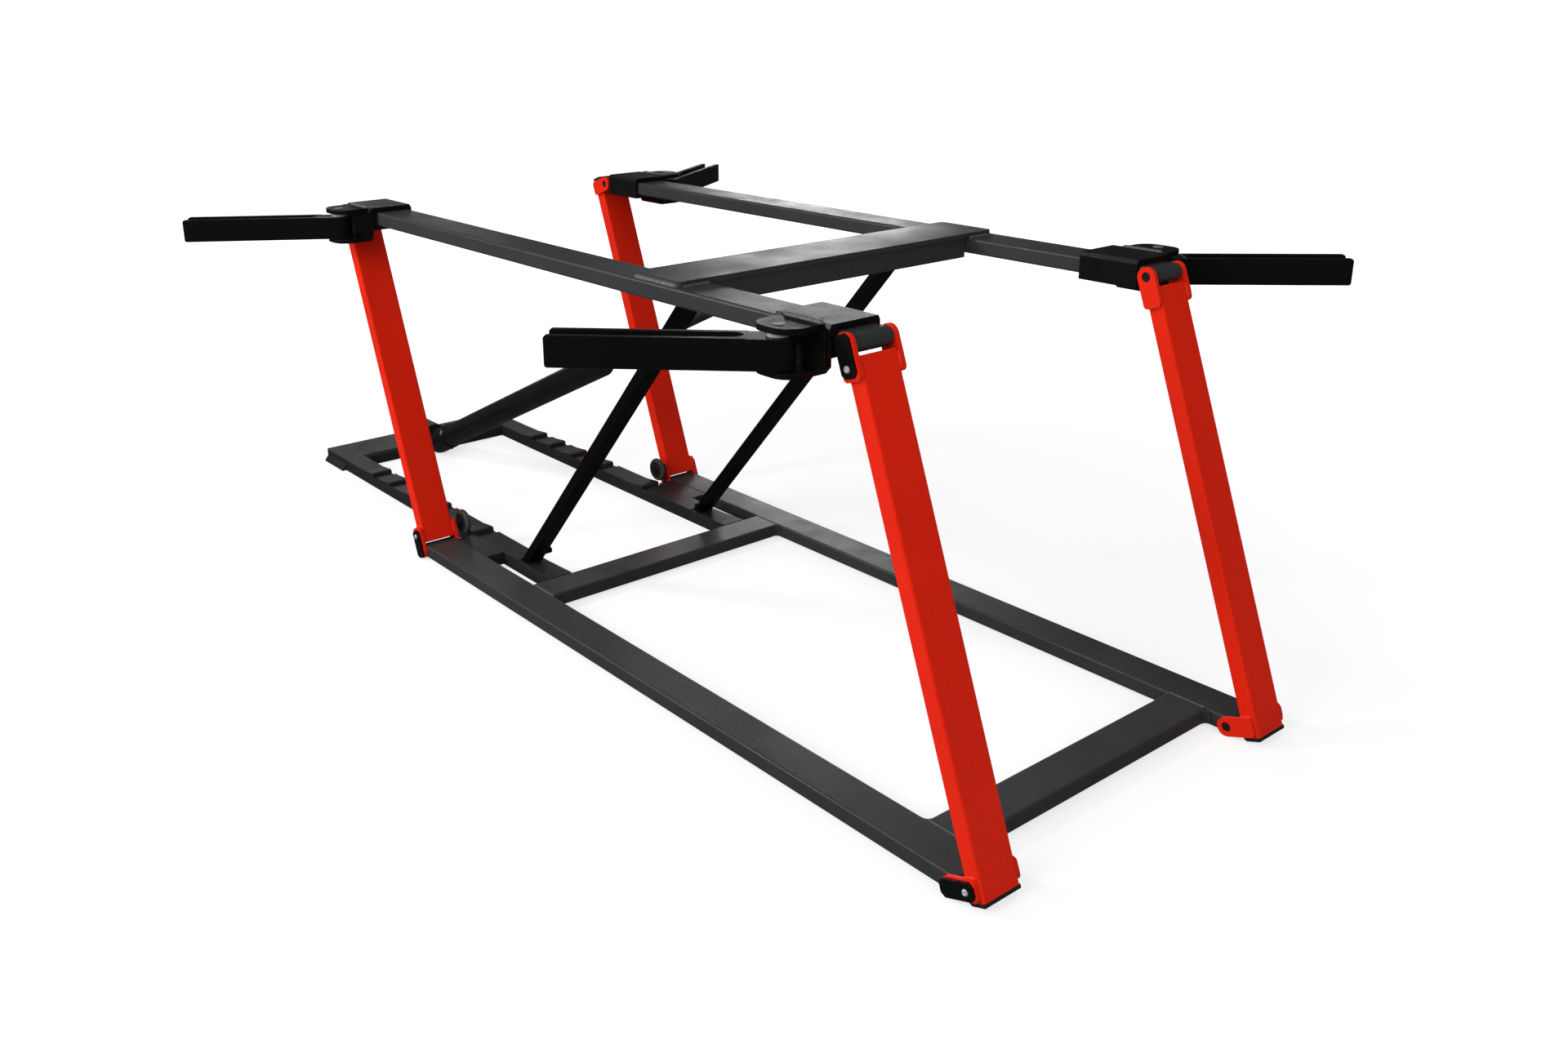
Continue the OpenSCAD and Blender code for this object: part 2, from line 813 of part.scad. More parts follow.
// Stub axle on the inner ear: spacer, shank and head
module wheel_axle_body() {
  gap = wheel_in - ear_out;
  at_wheel() {
    translate([0, -ear_out - (gap - hinge_play) / 2, 0])
      y_rod(axle_d + 12, gap - hinge_play);
    translate([0, -ear_out - (gap + wheel_w + hinge_play) / 2, 0])
      y_rod(axle_d, gap + wheel_w + hinge_play);
    translate([0, -wheel_in - wheel_w - hinge_play - 1.6, 0])
      y_rod(axle_d + 8, 3.2);
  }
}

// ----------------------------------------------------------------- top frame

module top_bar_body() {
  translate([rear_up_x, rail_y, up_z])
    hinged_bar(wheelbase);
}

module top_crossbar_body() {
  difference() {
    translate([crossbar_rear, -bar_in, crossbar_low])
      cube([crossbar_len, 2 * bar_in, crossbar_h]);
    translate([crossbar_rear + tube_wall, tube_wall - bar_in, crossbar_low + tube_wall])
      cube([crossbar_len - 2 * tube_wall, 2 * (bar_in - tube_wall), crossbar_h - 2 * tube_wall]);
  }
  // Weld corners towards the rear of the bars
  for (side = [0, 1])
    mirror([0, side, 0])
      translate([crossbar_rear, bar_in, bar_low + weld_low])
        rotate([0, 0, 180])
          weld_corner(tube_h - 2 * weld_low);
}

module crossbar_plate_body() {
  translate([plate_front - top_plate_len / 2, 0, bar_top])
    linear_extrude(height = top_plate_t)
      round_rect(top_plate_len, 2 * plate_half_y, 10);
}

// Own frame of a corner: upper hinge at the origin, inboard +X, outboard +Y
module at_corner(front) {
  if (front)
    translate([front_up_x, rail_y, up_z])
      mirror([1, 0, 0])
        children();
  else
    translate([rear_up_x, rail_y, up_z])
      children();
}

// Clevis plate seen from above, with round outer corners
module fork_plate() {
  x0 = swing_in - 56;
  y0 = bar_w / 2;
  y1 = swing_out + 29;
  r = fork_r;
  translate([x0, y0])
    square([112, y1 - r - y0]);
  translate([x0 + r, y0])
    square([112 - 2 * r, y1 - y0]);
  for (x = [x0 + r, x0 + 112 - r])
    translate([x, y1 - r])
      circle(r = r, $fn = FN);
}

// Corner block: a sleeve round the top bar and the clevis of a swing arm
module block_body() {
  y_in = -bar_w / 2 - 8;
  y_out = bar_w / 2 + block_wall;
  low = -tube_h / 2 - sleeve_drop;
  fork_low = fork_low_z - up_z;
  fork_low_up = fork_low_top - up_z;
  difference() {
    union() {
      // Sleeve with sloped top edges
      translate([block_at, 0, 0])
        rotate([90, 0, 90])
          linear_extrude(height = block_len)
            polygon([
              [y_in, low], [bar_w / 2 + 21, low], [bar_w / 2 + 21, tube_h / 2 + cap_t - 9],
              [bar_w / 2 + 16, tube_h / 2 + cap_t], [y_in + 5, tube_h / 2 + cap_t],
              [y_in, tube_h / 2 + cap_t - 9]
            ]);
      // Outer wall that runs down to the clevis's lower plate
      translate([0, (bar_w / 2 + 12 + y_out) / 2, 0])
        across(y_out - bar_w / 2 - 12)
          polygon([
            [block_at + 4, tube_h / 2], [block_at + 4, low - 18], [swing_in - 56, fork_low],
            [swing_in + 56, fork_low], [block_at + block_len - 8, low - 18],
            [block_at + block_len - 8, tube_h / 2]
          ]);
      translate([0, 0, tube_h / 2])
        linear_extrude(height = fork_top_t)
          fork_plate();
      translate([0, 0, fork_low])
        intersection() {
          linear_extrude(height = fork_low_up - fork_low)
            fork_plate();
          translate([-FAR / 2, bar_w / 2 + 12, -FAR / 2])
            cube([FAR, FAR, FAR]);
        }
    }
    // Seat of the top bar
    translate([-CUT, 0, 0])
      rotate([90, 0, 90])
        linear_extrude(height = FAR)
          round_rect(bar_w, tube_h, tube_r);
    translate([swing_in, swing_out, -FAR / 2])
      cylinder(d = swing_pin_d + 2 * hold_fit, h = FAR, $fn = FN);
  }
}

module swing_pin() {
  low = fork_low_z - up_z - 3;
  translate([swing_in, swing_out, low])
    cylinder(d = swing_pin_d, h = tube_h / 2 + fork_top_t + 1 - low, $fn = FN);
}

module swing_washer() {
  translate([swing_in, swing_out, bar_top - up_z - stack_play / 2 - washer_t])
    difference() {
      cylinder(d = washer_d, h = washer_t, $fn = FN);
      translate([0, 0, -CUT])
        cylinder(d = swing_pin_d + 2 * hold_fit, h = washer_t + 2 * CUT, $fn = FN);
    }
}

module all_corners() {
  for (front = [true, false])
    for (side = [0, 1])
      mirror([0, side, 0])
        at_corner(front)
          children();
}

// Lugs of both struts on the crossbar's rear face
module strut_lugs_body() {
  for (side = [-1, 1])
    for (cheek = [-1, 1])
      translate([0, side * rack_y + cheek * (strut_side + lug_t / 2), 0])
        across(lug_t)
          difference() {
            union() {
              translate([strut_x, strut_z])
                circle(d = strut_t, $fn = FN);
              translate([strut_x, strut_z - strut_t / 2])
                square([strut_back, strut_t + 10]);
            }
            translate([strut_x, strut_z])
              circle(d = strut_pin_d + 2 * hold_fit, $fn = FN);
          }
}

module strut_pins_body() {
  for (side = [-1, 1])
    translate([strut_x, side * rack_y, strut_z])
      y_rod(strut_pin_d, 2 * (strut_side + lug_t) + 4);
}

// Cheeks that straddle the rod's eye
module spindle_fork_body() {
  for (side = [-1, 1])
    translate([0, side * (eye_gap + cheek_t / 2), 0])
      across(cheek_t)
        difference() {
          union() {
            translate([eye_x, eye_z])
              circle(d = eye_d + 4, $fn = FN);
            polygon([
              [eye_x, eye_z - eye_d / 2 - 2], [crossbar_rear, crossbar_low + 4],
              [crossbar_rear, bar_top - 6], [eye_x, eye_z + eye_d / 2 + 2]
            ]);
          }
          translate([eye_x, eye_z])
            circle(d = spindle_pin_d + 2 * hold_fit, $fn = FN);
        }
}

module fork_bolts_body() {
  for (side = [-1, 1])
    translate([eye_x, 0, eye_z]) {
      translate([0, side * (eye_gap + (cheek_t + 1) / 2), 0])
        y_rod(spindle_pin_d, cheek_t + 1);
      translate([0, side * (eye_gap + cheek_t + 4), 0])
        y_rod(spindle_pin_d + 8, 6);
    }
}

// ---------------------------------------------------------------- swing arms

// Swing arm along +X from its pin: a round hub and two bars with a slot between them
module swing_arm() {
  slot = arm_w - 2 * arm_bar;
  difference() {
    union() {
      cylinder(d = arm_w, h = arm_h, $fn = FN);
      translate([0, -arm_w / 2, 0])
        cube([arm_len - 20, arm_w, arm_h]);
      // The bars stand a little above the hub
      translate([hub_len - 6, -arm_w / 2, 0])
        cube([arm_len - hub_len - 20, arm_w, arm_h + arm_step]);
      // Their free ends have rounded corners
      translate([arm_len - 15, 0, (arm_h + arm_step) / 2])
        rotate([90, 0, 0])
          linear_extrude(height = arm_w, center = true)
            round_rect(30, arm_h + arm_step, arm_end_r);
    }
    translate([hub_len + slot / 2, -slot / 2, -CUT])
      cube([arm_len, slot, arm_h + arm_step + 2 * CUT]);
    translate([hub_len + slot / 2, 0, -CUT])
      cylinder(d = slot, h = arm_h + arm_step + 2 * CUT, $fn = FN);
    translate([0, 0, -CUT])
      cylinder(d = swing_pin_d + 2 * run_fit, h = arm_h + 2 * CUT, $fn = FN);
  }
}

module placed_swing_arm(front, side, turn) {
  x = front ? front_up_x - swing_in : rear_up_x + swing_in;
  translate([x, side * (rail_y + swing_out), arm_low])
    rotate([0, 0, turn])
      swing_arm();
}

// ------------------------------------------------------------- safety struts

// Side view of a strut, from its hinge down to a foot with a raised tip behind a level sole
module strut_outline() {
  h = strut_t / 2;
  dir = [-cos(strut_rise), -sin(strut_rise)];
  nor = [-sin(strut_rise), cos(strut_rise)];
  top = [strut_x, strut_z];
  // Length of the lower face down to the foot
  run_low = (strut_z - h * cos(strut_rise) - foot_z) / sin(strut_rise);
  polygon([
    top - h * nor, top + h * nor, [tip_x, tip_z],
    [foot_x, foot_z], top - h * nor + run_low * dir
  ]);
}

module strut_body() {
  difference() {
    union() {
      translate([0, rack_y, 0])
        across(strut_w)
          strut_outline();
      translate([strut_x, rack_y, strut_z])
        y_rod(strut_t, strut_w);
    }
    // Groove along the underside, short of both ends
    translate([strut_x, rack_y, strut_z])
      rotate([0, 180 - strut_rise, 0])
        translate([2 * strut_t, -groove_w / 2, -strut_t / 2 - CUT])
          cube([strut_reach - 5 * strut_t, groove_w, groove_t + CUT]);
    translate([strut_x, rack_y, strut_z])
      y_rod(strut_pin_d + 2 * run_fit, strut_w + 2 * CUT);
  }
  // Lifting peg on the inner side
  translate([strut_x, rack_y - strut_w / 2 - peg_len / 2 + 2, strut_z])
    rotate([0, -strut_rise, 0])
      translate([peg_up - strut_reach, 0, -peg_off])
        y_rod(peg_d, peg_len + 4);
}

// ------------------------------------------------------------------- spindle

// Own frame of the spindle: its hinge at the origin and its rod along +X
module at_spindle() {
  translate([spindle_x, 0, spindle_z])
    rotate([0, -spindle_rise, 0])
      children();
}

module x_rod(d, from, to) {
  translate([from, 0, 0])
    rotate([0, 90, 0])
      cylinder(d = d, h = to - from, $fn = FN);
}

module spindle_tube_body() {
  at_spindle()
    difference() {
      union() {
        // Collar with a domed end, and the tube ahead of it
        rotate([0, 90, 0])
          rotate_extrude($fn = FN)
            polygon(concat(
              [[0, -collar_d / 2 * cos(15)]],
              [for (a = [15:15:90]) collar_d / 2 * [sin(a), -cos(a)]],
              [[collar_d / 2, collar_len - 6], [spindle_d / 2, collar_len]],
              [[spindle_d / 2, spindle_len], [0, spindle_len]]
            ));
      }
      x_rod(spindle_d - 2 * spindle_wall, plug_len, spindle_len + CUT);
      y_rod(spindle_pin_d + 2 * run_fit, collar_d + 2 * CUT);
    }
}

module spindle_gland_body() {
  at_spindle()
    difference() {
      union() {
        x_rod(spindle_d - 2 * spindle_wall - 2 * hold_fit, spindle_len - gland_len, spindle_len);
        x_rod(spindle_d - 4, spindle_len, spindle_len + 5);
      }
      x_rod(rod_d + 2 * run_fit, spindle_len - gland_len - CUT, spindle_len + 5 + CUT);
    }
}

module spindle_rod_body() {
  start = spindle_reach - rod_len;
  at_spindle() {
    x_rod(rod_d, start, spindle_reach);
    x_rod(spindle_d - 2 * spindle_wall - 2 * run_fit, start, start + nut_len);
    translate([spindle_reach, 0, 0])
      y_rod(eye_d, eye_w);
  }
}

// --------------------------------------------------------------------- nodes

module right_base_rail() { color("#33373b") on_right() base_rail(); }
module left_base_rail() { color("#33373b") base_rail(); }
module front_crossbeam() { color("#33373b") front_crossbeam_body(); }
module mid_crossbeam() { color("#33373b") mid_crossbeam_body(); }
module rear_crossbeam() { color("#1c1d1f") rear_crossbeam_body(); }
module right_rack() { color("#1c1d1f") on_right() rack_body(); }
module left_rack() { color("#1c1d1f") rack_body(); }
module right_rack_bridge() { color("#33373b") on_right() rack_bridge_body(); }
module left_rack_bridge() { color("#33373b") rack_bridge_body(); }
module base_feet() { color("#101010") base_feet_body(); }
module spindle_bracket() { color("#1c1d1f") spindle_bracket_body(); }
module spindle_hinge_pin() { color("#8d9195") spindle_hinge_pin_body(); }

module right_front_leg() { color("#c81e0f") on_right() at_leg(true) leg_body(leg_gap); }
module left_front_leg() { color("#c81e0f") at_leg(true) leg_body(leg_gap); }
module right_rear_leg() { color("#c81e0f") on_right() at_leg(false) leg_body(rear_leg_gap); }
module left_rear_leg() { color("#c81e0f") at_leg(false) leg_body(rear_leg_gap); }
module right_front_leg_pins() { color("#5a5d60") on_right() at_leg(true) leg_pins_body(); }
module left_front_leg_pins() { color("#5a5d60") at_leg(true) leg_pins_body(); }
module right_rear_leg_pins() { color("#5a5d60") on_right() at_leg(false) leg_pins_body(); }
module left_rear_leg_pins() { color("#5a5d60") at_leg(false) leg_pins_body(); }
module right_front_lock_plates() { color("#1c1d1f") on_right() at_leg(true) lock_plates_body(); }
module left_front_lock_plates() { color("#1c1d1f") at_leg(true) lock_plates_body(); }
module right_rear_lock_plates() { color("#1c1d1f") on_right() at_leg(false) lock_plates_body(); }
module left_rear_lock_plates() { color("#1c1d1f") at_leg(false) lock_plates_body(); }
module right_front_lock_bolts() { color("#b9bcc0") on_right() at_leg(true) lock_bolts_body(); }
module left_front_lock_bolts() { color("#b9bcc0") at_leg(true) lock_bolts_body(); }
module right_rear_lock_bolts() { color("#b9bcc0") on_right() at_leg(false) lock_bolts_body(); }
module left_rear_lock_bolts() { color("#b9bcc0") at_leg(false) lock_bolts_body(); }
module right_front_end_pad() { color("#101010") on_right() at_leg(true) end_pad_body(); }
module left_front_end_pad() { color("#101010") at_leg(true) end_pad_body(); }
module right_rear_end_pad() { color("#101010") on_right() at_leg(false) end_pad_body(); }
module left_rear_end_pad() { color("#101010") at_leg(false) end_pad_body(); }

module right_wheel() { color("#202123") on_right() wheel_body(); }
module left_wheel() { color("#202123") wheel_body(); }
module right_wheel_axle() { color("#b9bcc0") on_right() wheel_axle_body(); }
module left_wheel_axle() { color("#b9bcc0") wheel_axle_body(); }

module right_top_bar() { color("#33373b") on_right() top_bar_body(); }
module left_top_bar() { color("#33373b") top_bar_body(); }
module top_crossbar() { color("#33373b") top_crossbar_body(); }
module crossbar_plate() { color("#33373b") crossbar_plate_body(); }
module right_front_block() { color("#1c1d1f") on_right() at_corner(true) block_body(); }
module left_front_block() { color("#1c1d1f") at_corner(true) block_body(); }
module right_rear_block() { color("#1c1d1f") on_right() at_corner(false) block_body(); }
module left_rear_block() { color("#1c1d1f") at_corner(false) block_body(); }
module swing_pins() { color("#b9bcc0") all_corners() swing_pin(); }
module swing_washers() { color("#b9bcc0") all_corners() swing_washer(); }
module strut_lugs() { color("#1c1d1f") strut_lugs_body(); }
module strut_pins() { color("#8d9195") strut_pins_body(); }
module spindle_fork() { color("#1c1d1f") spindle_fork_body(); }
module fork_bolts() { color("#b9bcc0") fork_bolts_body(); }

module right_front_swing_arm() { color("#151617") placed_swing_arm(true, -1, turn_rf); }
module left_front_swing_arm() { color("#151617") placed_swing_arm(true, 1, turn_lf); }
module right_rear_swing_arm() { color("#151617") placed_swing_arm(false, -1, turn_rr); }
module left_rear_swing_arm() { color("#151617") placed_swing_arm(false, 1, turn_lr); }

module right_strut() { color("#1c1d1f") on_right() strut_body(); }
module left_strut() { color("#1c1d1f") strut_body(); }
module spindle_tube() { color("#1c1d1f") spindle_tube_body(); }
module spindle_gland() { color("#5a5d60") spindle_gland_body(); }
module spindle_rod() { color("#8d9195") spindle_rod_body(); }

right_base_rail();
left_base_rail();
front_crossbeam();
mid_crossbeam();
rear_crossbeam();
right_rack();
left_rack();
right_rack_bridge();
left_rack_bridge();
base_feet();
spindle_bracket();
spindle_hinge_pin();
right_front_leg();
right_front_leg_pins();
right_front_lock_plates();
right_front_lock_bolts();
right_front_end_pad();
left_front_leg();
left_front_leg_pins();
left_front_lock_plates();
left_front_lock_bolts();
left_front_end_pad();
right_rear_leg();
right_rear_leg_pins();
right_rear_lock_plates();
right_rear_lock_bolts();
right_rear_end_pad();
left_rear_leg();
left_rear_leg_pins();
left_rear_lock_plates();
left_rear_lock_bolts();
left_rear_end_pad();
right_wheel();
left_wheel();
right_wheel_axle();
left_wheel_axle();
right_top_bar();
left_top_bar();
top_crossbar();
crossbar_plate();
right_front_block();
left_front_block();
right_rear_block();
left_rear_block();
swing_pins();
swing_washers();
strut_lugs();
strut_pins();
spindle_fork();
fork_bolts();
right_front_swing_arm();
left_front_swing_arm();
right_rear_swing_arm();
left_rear_swing_arm();
right_strut();
left_strut();
spindle_tube();
spindle_gland();
spindle_rod();
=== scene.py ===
"""Mobile low-rise vehicle lift, dressed for a studio picture. Lengths are in metres."""
import math

import bpy
import bmesh
from mathutils import Matrix, Vector


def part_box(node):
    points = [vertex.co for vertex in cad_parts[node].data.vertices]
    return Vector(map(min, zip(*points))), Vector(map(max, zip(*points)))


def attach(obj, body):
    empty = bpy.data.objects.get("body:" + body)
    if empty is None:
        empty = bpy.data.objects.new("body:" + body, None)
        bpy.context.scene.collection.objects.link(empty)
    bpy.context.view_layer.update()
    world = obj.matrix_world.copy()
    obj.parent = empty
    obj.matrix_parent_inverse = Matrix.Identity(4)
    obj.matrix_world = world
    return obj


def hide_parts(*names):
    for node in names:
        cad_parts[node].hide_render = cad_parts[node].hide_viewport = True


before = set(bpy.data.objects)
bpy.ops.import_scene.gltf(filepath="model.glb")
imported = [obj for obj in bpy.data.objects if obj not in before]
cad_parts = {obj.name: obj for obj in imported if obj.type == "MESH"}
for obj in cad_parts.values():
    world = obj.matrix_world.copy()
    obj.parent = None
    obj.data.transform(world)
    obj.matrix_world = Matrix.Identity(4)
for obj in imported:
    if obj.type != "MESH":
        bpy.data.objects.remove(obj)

scene = bpy.context.scene
scene.view_settings.view_transform = "Standard"
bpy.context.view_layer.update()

SIDES = {"right": -1, "left": 1}

# ------------------------------------------------------------------ measures

RAIL_Y = 0.455            # centre of the rails, bars and legs from the middle plane
BAR_HALF = 0.0495         # centre of a top bar to its inner face
TUBE_HALF_W = 0.050       # flat tube, half its width and half its height
TUBE_HALF_H = 0.019

# Hinges of the legs
UP_Z, LOW_Z = 0.9958, 0.023
FRONT_X, FRONT_UP_X = 1.580, 1.2733
REAR_UP_X = -0.8147
BAR_TOP = UP_Z + TUBE_HALF_H
RAIL_TOP = LOW_Z + TUBE_HALF_H

# A leg's tube runs beside the line of its hinges
LEG_RISE = UP_Z - LOW_Z
LEG_BACK = FRONT_X - FRONT_UP_X
LEG_OFFSET = 0.0515
LEG_SPAN = math.hypot(LEG_RISE, LEG_BACK)
LEG_RUN = math.sqrt(LEG_SPAN ** 2 - LEG_OFFSET ** 2)
TUBE_LEAN = math.atan2(LEG_BACK, LEG_RISE) + math.asin(LEG_OFFSET / LEG_SPAN)

# Hinge ears and lock plates on the legs
EAR_OUT = 0.060
EAR_R = 0.022
EAR_LEN = 0.070
LOCK_T = 0.006
LOCK_BOLT_AT = 0.045

# Word for each corner: is it in front, and its side
CORNERS = {
    "right_front": (True, -1), "left_front": (True, 1),
    "right_rear": (False, -1), "left_rear": (False, 1),
}

# -------------------------------------------------------------------- camera

CAM_AT = (2.99631, -2.18909, 1.60182)
CAM_AZ, CAM_EL, CAM_ROLL = (math.radians(a) for a in (51.7911, 18.0434, -0.70483))
SENSOR_MM, LENS_MM = 36.0, 31.5015
CAM_SHIFT = (0.04993, -0.05413)
CAM_CLIP = (0.05, 200.0)


def make_camera():
    data = bpy.data.cameras.new("camera")
    data.sensor_width = SENSOR_MM
    data.lens = LENS_MM
    data.shift_x, data.shift_y = CAM_SHIFT
    data.clip_start, data.clip_end = CAM_CLIP
    cam = bpy.data.objects.new("camera", data)
    scene.collection.objects.link(cam)
    ahead = Vector((-math.sin(CAM_AZ) * math.cos(CAM_EL),
                    math.cos(CAM_AZ) * math.cos(CAM_EL), -math.sin(CAM_EL)))
    level = ahead.cross(Vector((0, 0, 1))).normalized()
    over = level.cross(ahead)
    right = math.cos(CAM_ROLL) * level + math.sin(CAM_ROLL) * over
    up = right.cross(ahead)
    turn = Matrix((right, up, -ahead)).transposed()
    cam.matrix_world = Matrix.Translation(CAM_AT) @ turn.to_4x4()
    scene.camera = cam


make_camera()

# ----------------------------------------------------------------- materials


class Nodes:
    """Short calls for building a node tree."""

    def __init__(self, tree):
        self.tree = tree
        tree.nodes.clear()

    def add(self, kind, **values):
        """Adds a node. A value sets its property, or else its socket, with _ for a space."""
        node = self.tree.nodes.new(kind)
        for key, value in values.items():
            if hasattr(node, key):
                setattr(node, key, value)
            else:
                node.inputs[key.replace("_", " ")].default_value = value
        return node

    def link(self, a, b):
        self.tree.links.new(a, b)

    def noise(self, where, scale, detail, rough=0.5, stretch=None):
        """Adds a noise over a place, which may be stretched along the axes first."""
        if stretch:
            mapping = self.add("ShaderNodeMapping", Scale=stretch)
            self.link(where, mapping.inputs["Vector"])
            where = mapping.outputs["Vector"]
        node = self.add("ShaderNodeTexNoise", Scale=scale, Detail=detail, Roughness=rough)
        self.link(where, node.inputs["Vector"])
        return node.outputs["Fac"]

    def spread(self, value, source, target=(0.0, 1.0)):
        """Maps a value from the source range to the target range."""
        node = self.add("ShaderNodeMapRange", From_Min=source[0], From_Max=source[1],
                        To_Min=target[0], To_Max=target[1])
        self.link(value, node.inputs["Value"])
        return node.outputs["Result"]

    def math(self, how, a, b):
        """Adds a Math node on two sockets."""
        node = self.add("ShaderNodeMath", operation=how)
        self.link(a, node.inputs[0])
        self.link(b, node.inputs[1])
        return node.outputs[0]

    def mix(self, factor, a, b):
        """Mixes two colours, each a tuple or a socket."""
        node = self.add("ShaderNodeMix", data_type="RGBA")
        self.link(factor, node.inputs["Factor"])
        for socket, value in zip((node.inputs[6], node.inputs[7]), (a, b)):
            if isinstance(value, tuple):
                socket.default_value = (*value, 1.0)
            else:
                self.link(value, socket)
        return node.outputs[2]

    def mix_shader(self, factor, a, b):
        """Shader node a where the factor is 0, b where it is 1."""
        node = self.add("ShaderNodeMixShader")
        self.link(factor, node.inputs[0])
        self.link(a.outputs[0], node.inputs[1])
        self.link(b.outputs[0], node.inputs[2])
        return node


# Each noise: cells per metre, detail, roughness of the detail
CLOUDS, PATCHES = (3.1, 3.0), (28.0, 4.0, 0.65)
DUST, GLOSS = (7.0, 5.0, 0.6), (9.0, 5.0, 0.6)
SPECK_DETAIL, GRAIN_DETAIL = (2.0, 0.6), (2.0, 0.55)
SPECK_SIZE = 0.5          # scale of the specks, as a share of the grain's
# Ranges of a noise or a normal that an effect is spread over, and the effect's own range
NOISE_MIDDLE, CLOUD_SPAN = (0.3, 0.7), (0.35, 0.65)
PATCH_SPAN, DUST_SPAN = (0.42, 0.62), (0.4, 0.75)
EDGE_SPAN = (0.97, 0.80)  # cosine between the rounded normal and the face's
LYING_SPAN = (0.5, 1.0)   # upward part of the normal
SPECK_SHARE, PATCH_SHARE, FILM_SHARE = (0.4, 1.0), (0.15, 1.0), (0.2, 1.0)
GRAIN_GLOSS = (-0.03, 0.05)
GLOSS_SWING = 0.08        # how far the roughness strays from its mean
BEVEL_SAMPLES = 4
WORN_WIDTH = 1.6          # width of the worn edge, in edge radii
DUST_TONE = (0.30, 0.29, 0.28)


def surface(name, tone, tone_b, edge, rough, grain, depth, metal=0.0, spec=0.35,
            bevel=0.0012, edge_share=0.5, stretch=None, dust=0.0):
    """A coated or bare metal, rubber or plastic: two tones, a grain, worn edges, uneven gloss.

    grain is the noise scale of the fine bumps and depth their height; bevel is the edge
    radius; edge_share and dust say how much of the edge tone and of the dust shows.
    """
    mat = bpy.data.materials.new(name)
    mat.use_nodes = True
    n = Nodes(mat.node_tree)
    place = n.add("ShaderNodeTexCoord").outputs["Object"]
    out = n.add("ShaderNodeOutputMaterial")
    bsdf = n.add("ShaderNodeBsdfPrincipled", Metallic=metal, Specular_IOR_Level=spec)
    n.link(bsdf.outputs["BSDF"], out.inputs["Surface"])

    # Two tones in soft clouds, broken up by specks
    cloud = n.spread(n.noise(place, *CLOUDS), CLOUD_SPAN)
    speck = n.noise(place, grain * SPECK_SIZE, *SPECK_DETAIL)
    speck = n.spread(speck, NOISE_MIDDLE, SPECK_SHARE)
    fine = n.noise(place, grain, *GRAIN_DETAIL, stretch)
    two_tone = n.mix(n.math("MULTIPLY", cloud, speck), tone, tone_b)

    # Patchy wear where the rounded normal leaves the face's own
    round_edge = n.add("ShaderNodeBevel", samples=BEVEL_SAMPLES, Radius=bevel)
    wide_edge = n.add("ShaderNodeBevel", samples=BEVEL_SAMPLES, Radius=bevel * WORN_WIDTH)
    facing = n.add("ShaderNodeNewGeometry").outputs["Normal"]
    match = n.add("ShaderNodeVectorMath", operation="DOT_PRODUCT")
    n.link(wide_edge.outputs["Normal"], match.inputs[0])
    n.link(facing, match.inputs[1])
    worn = n.spread(match.outputs["Value"], EDGE_SPAN, (0.0, edge_share))
    patchy = n.spread(n.noise(place, *PATCHES), PATCH_SPAN, PATCH_SHARE)
    colour = n.mix(n.math("MULTIPLY", worn, patchy), two_tone, edge)

    # A film of dust on faces that look up
    if dust:
        up = n.add("ShaderNodeSeparateXYZ")
        n.link(facing, up.inputs[0])
        lying = n.spread(up.outputs["Z"], LYING_SPAN, (0.0, dust))
        film = n.spread(n.noise(place, *DUST), DUST_SPAN, FILM_SHARE)
        colour = n.mix(n.math("MULTIPLY", lying, film), colour, DUST_TONE)
    n.link(colour, bsdf.inputs["Base Color"])

    # Gloss varies in patches and with the grain
    gloss = n.spread(n.noise(place, *GLOSS), NOISE_MIDDLE,
                     (rough - GLOSS_SWING, rough + GLOSS_SWING))
    grainy = n.spread(fine, NOISE_MIDDLE, GRAIN_GLOSS)
    n.link(n.math("ADD", gloss, grainy), bsdf.inputs["Roughness"])

    bump = n.add("ShaderNodeBump", Strength=1.0, Distance=depth)
    n.link(fine, bump.inputs["Height"])
    n.link(round_edge.outputs["Normal"], bump.inputs["Normal"])
    n.link(bump.outputs["Normal"], bsdf.inputs["Normal"])
    return mat


